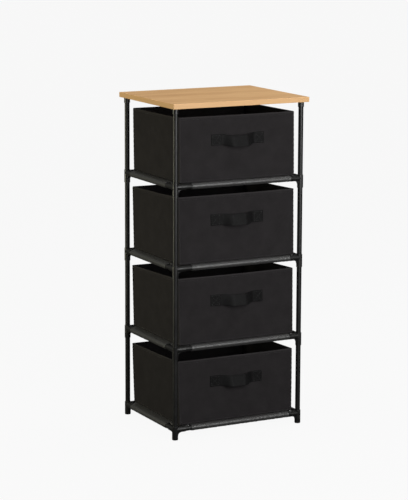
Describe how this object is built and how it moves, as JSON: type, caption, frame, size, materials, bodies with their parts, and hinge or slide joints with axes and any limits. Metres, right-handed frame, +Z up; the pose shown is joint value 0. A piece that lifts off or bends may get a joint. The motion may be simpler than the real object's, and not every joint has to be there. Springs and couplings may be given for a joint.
{
  "type": "drawer unit",
  "caption": "Tall narrow drawer unit: a black tube frame with a wood board on top and open soft fabric drawers that slide on fabric shelves, each with a strap handle.",
  "frame": {"origin": "on the floor, below the middle of the frame and of the top board", "axes": "+Z up, the drawers open towards -Y, +X to the right as seen from the front turned about +Z; the board is 450 mm along X and 366 mm along Y"},
  "size_m": [0.45, 0.366, 1],
  "materials": {
    "oak_laminate": "satin oak-effect laminate",
    "tube_paint": "satin black powder coat",
    "connector_plastic": "moulded, low gloss",
    "screw_steel": "zinc plated",
    "shelf_fabric": "woven ribbed polyester",
    "drawer_fabric": "matt non-woven",
    "strap_webbing": "non-woven strap, stitched",
    "insert_fabric": "board covered in matt non-woven fabric",
    "wall_board_card": "plain grey-brown board"
  },
  "bodies": {
    "frame": {"board_screws": "screw_steel", "connector_1_back_left": "connector_plastic", "connector_1_back_right": "connector_plastic", "connector_1_front_left": "connector_plastic", "connector_1_front_right": "connector_plastic", "connector_2_back_left": "connector_plastic", "connector_2_back_right": "connector_plastic", "connector_2_front_left": "connector_plastic", "connector_2_front_right": "connector_plastic", "connector_3_back_left": "connector_plastic", "connector_3_back_right": "connector_plastic", "connector_3_front_left": "connector_plastic", "connector_3_front_right": "connector_plastic", "connector_4_back_left": "connector_plastic", "connector_4_back_right": "connector_plastic", "connector_4_front_left": "connector_plastic", "connector_4_front_right": "connector_plastic", "foot_glides": "connector_plastic", "post_1_back_left": "tube_paint", "post_1_back_right": "tube_paint", "post_1_front_left": "tube_paint", "post_1_front_right": "tube_paint", "post_2_back_left": "tube_paint", "post_2_back_right": "tube_paint", "post_2_front_left": "tube_paint", "post_2_front_right": "tube_paint", "post_3_back_left": "tube_paint", "post_3_back_right": "tube_paint", "post_3_front_left": "tube_paint", "post_3_front_right": "tube_paint", "post_4_back_left": "tube_paint", "post_4_back_right": "tube_paint", "post_4_front_left": "tube_paint", "post_4_front_right": "tube_paint", "rails_1": "tube_paint", "rails_2": "tube_paint", "rails_3": "tube_paint", "rails_4": "tube_paint", "shelf_1": "shelf_fabric", "shelf_2": "shelf_fabric", "shelf_3": "shelf_fabric", "shelf_4": "shelf_fabric", "top_board": "oak_laminate", "top_caps": "connector_plastic"},
    "drawer_1": {"drawer_1_fabric": "drawer_fabric", "drawer_1_wall_boards": "wall_board_card", "drawer_1_handle": "strap_webbing"},
    "insert_1": {"drawer_1_base_insert": "insert_fabric"},
    "drawer_2": {"drawer_2_fabric": "drawer_fabric", "drawer_2_wall_boards": "wall_board_card", "drawer_2_handle": "strap_webbing"},
    "insert_2": {"drawer_2_base_insert": "insert_fabric"},
    "drawer_3": {"drawer_3_fabric": "drawer_fabric", "drawer_3_wall_boards": "wall_board_card", "drawer_3_handle": "strap_webbing"},
    "insert_3": {"drawer_3_base_insert": "insert_fabric"},
    "drawer_4": {"drawer_4_fabric": "drawer_fabric", "drawer_4_wall_boards": "wall_board_card", "drawer_4_handle": "strap_webbing"},
    "insert_4": {"drawer_4_base_insert": "insert_fabric"}
  },
  "joints": [
    {"name": "drawer_1_slide", "type": "slide", "parent": "frame", "child": "drawer_1", "axis": [0, -1, 0], "range_m": [0, 0.33]},
    {"name": "insert_1_lift", "type": "slide", "parent": "drawer_1", "child": "insert_1", "axis": [0, 0, 1], "range_m": [0, 0.17]},
    {"name": "drawer_2_slide", "type": "slide", "parent": "frame", "child": "drawer_2", "axis": [0, -1, 0], "range_m": [0, 0.33]},
    {"name": "insert_2_lift", "type": "slide", "parent": "drawer_2", "child": "insert_2", "axis": [0, 0, 1], "range_m": [0, 0.17]},
    {"name": "drawer_3_slide", "type": "slide", "parent": "frame", "child": "drawer_3", "axis": [0, -1, 0], "range_m": [0, 0.33]},
    {"name": "insert_3_lift", "type": "slide", "parent": "drawer_3", "child": "insert_3", "axis": [0, 0, 1], "range_m": [0, 0.17]},
    {"name": "drawer_4_slide", "type": "slide", "parent": "frame", "child": "drawer_4", "axis": [0, -1, 0], "range_m": [0, 0.33]},
    {"name": "insert_4_lift", "type": "slide", "parent": "drawer_4", "child": "insert_4", "axis": [0, 0, 1], "range_m": [0, 0.17]}
  ]
}
